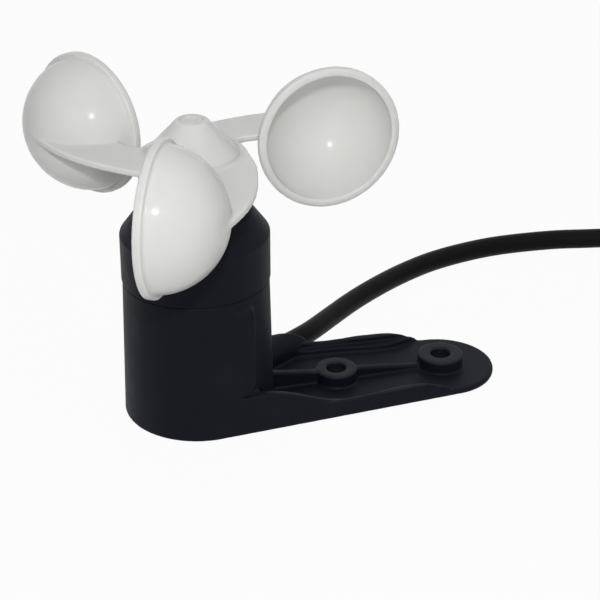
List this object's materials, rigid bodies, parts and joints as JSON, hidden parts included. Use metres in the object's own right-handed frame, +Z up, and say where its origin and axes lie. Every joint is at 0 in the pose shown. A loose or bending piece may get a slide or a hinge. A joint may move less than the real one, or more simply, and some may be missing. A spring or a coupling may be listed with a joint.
{
  "type": "cup anemometer",
  "caption": "Cup anemometer: white cupped rotor on a ball-bearing spindle above a black cylindrical housing with a drilled mounting foot and a rubber lead.",
  "frame": {"origin": "on the rotor's axis, on the flat underside that the base and foot stand on", "axes": "+Z up along the rotor's axis, +X along the foot toward its fixing holes"},
  "size_m": [0.3197, 0.1366, 0.1056],
  "materials": {
    "housing": "satin moulded plastic, near black",
    "seal": "silicone ring",
    "steel": "plated screw",
    "bearing_steel": "polished bearing steel",
    "spring_steel": "phosphated spring steel",
    "board": "green glass-fibre board",
    "reed_glass": "sealed glass capsule",
    "terminal": "moulded terminal block",
    "rubber": "soft moulded rubber",
    "nylon": "natural nylon",
    "lead_sheath": "matt rubber sheath",
    "core_brown": "brown insulation",
    "core_blue": "blue insulation",
    "tin": "tinned copper",
    "brass": "turned brass",
    "spindle_steel": "ground stainless steel",
    "magnet": "nickel-plated magnet",
    "rotor_white": "glossy white moulded plastic"
  },
  "bodies": {
    "housing": {"base_housing": "housing", "top_cap": "housing", "cap_seal": "seal", "cap_screws": "steel", "bearing_outer_rings": "bearing_steel", "bearing_clip": "spring_steel", "sensor_board": "board", "board_screws": "steel", "reed_switch": "reed_glass", "terminal_block": "terminal", "cable_grommet": "rubber", "cable_clamp": "nylon", "clamp_screws": "steel", "cable_inside": "lead_sheath", "core_brown": "core_brown", "core_blue": "core_blue", "cable_free": "lead_sheath", "cable_coil": "lead_sheath", "cable_ties": "nylon", "tail_core_brown": "core_brown", "tail_core_blue": "core_blue", "tail_ferrules": "tin"},
    "rotor": {"bearing_inner_rings": "bearing_steel", "spindle": "spindle_steel", "spindle_circlip": "spring_steel", "spindle_spacer": "steel", "spindle_nut": "steel", "hub_insert": "brass", "magnet_carrier": "nylon", "magnets": "magnet", "hub_skirt": "rotor_white", "cup_arm_1": "rotor_white", "cup_arm_2": "rotor_white", "cup_arm_3": "rotor_white", "hub_cone": "rotor_white", "hub_screws": "steel", "hub_plug": "rotor_white"},
    "ball_set": {"bearing_balls": "bearing_steel", "ball_cages": "brass"}
  },
  "joints": [
    {"name": "rotor_spin", "type": "hinge", "parent": "housing", "child": "rotor", "pos_m": [0, 0, 0.08325], "axis": [0, 0, 1], "continuous": true},
    {"name": "ball_set_spin", "type": "hinge", "parent": "housing", "child": "ball_set", "pos_m": [0, 0, 0.063], "axis": [0, 0, 1], "continuous": true}
  ],
  "couplings": [
    {"joint": "ball_set_spin", "follows": "rotor_spin", "ratio": 0.4}
  ]
}
